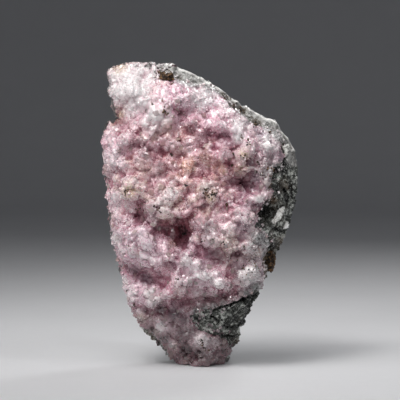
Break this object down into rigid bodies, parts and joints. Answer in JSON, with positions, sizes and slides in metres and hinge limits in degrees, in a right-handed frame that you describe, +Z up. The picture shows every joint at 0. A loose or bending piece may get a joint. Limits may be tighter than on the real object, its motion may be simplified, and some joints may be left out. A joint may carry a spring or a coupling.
{
  "type": "cobaltoan calcite specimen",
  "caption": "Mineral hand specimen: a drusy pink crystal crust on dark speckled rock, standing on its flat broken foot.",
  "frame": {"origin": "middle of the bounding box, at the level of the flat foot that the specimen stands on", "axes": "+X to the right seen from the crusted face, +Y away from the crusted face towards the rock back, +Z up"},
  "size_m": [0.059, 0.036, 0.0905],
  "materials": {
    "rock": "rough, dark grey-green with pale grains",
    "pink_calcite": "glassy, translucent crystal druse",
    "white_calcite": "glassy, cloudy white crystal",
    "iron_oxide": "earthy, dull brown-black"
  },
  "bodies": {
    "root": {"matrix": "rock", "pink_crust": "pink_calcite", "white_blade": "white_calcite", "white_bead": "white_calcite", "white_wedge": "white_calcite", "oxide_clot": "iron_oxide", "oxide_lens": "iron_oxide"}
  },
  "joints": []
}
